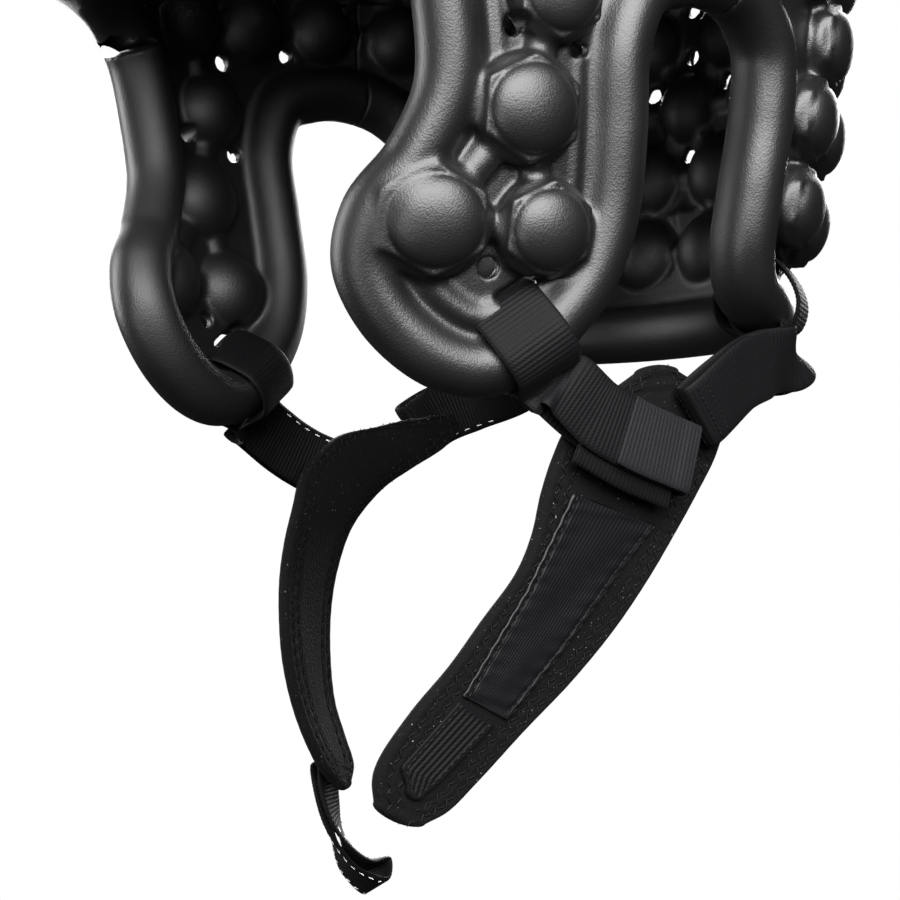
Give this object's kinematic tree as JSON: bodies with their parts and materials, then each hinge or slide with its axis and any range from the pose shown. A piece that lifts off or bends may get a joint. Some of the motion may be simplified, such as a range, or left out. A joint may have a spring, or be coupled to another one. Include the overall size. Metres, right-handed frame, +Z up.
{
  "type": "moulded head guard",
  "caption": "Open-faced moulded head guard for contact sport with round air cells, open ears, cheek pieces and a divided chin strap on webbing.",
  "frame": {"origin": "where the crown of the head touches the innermost cells at the top of the cap", "axes": "+Z up, the wearer faces -Y, +X to the wearer's left; as worn, with the straps hanging"},
  "size_m": [0.2002, 0.2417, 0.3689],
  "materials": {
    "moulded_shell": "satin pebbled black",
    "pad_fabric": "matt black jersey",
    "satin_label": "satin black",
    "webbing": "matt black ribbed weave"
  },
  "bodies": {
    "root": {"crown_shell": "moulded_shell", "cheek_shell_left": "moulded_shell", "cheek_shell_right": "moulded_shell", "back_shell": "moulded_shell", "chin_pad_left": "pad_fabric", "chin_pad_right": "pad_fabric", "label_patch": "satin_label", "ribbed_panel": "satin_label", "front_strap_left": "webbing", "rear_strap_left": "webbing", "front_strap_right": "webbing", "rear_strap_right": "webbing", "pile_strip": "webbing", "pull_tab": "webbing"}
  },
  "joints": []
}
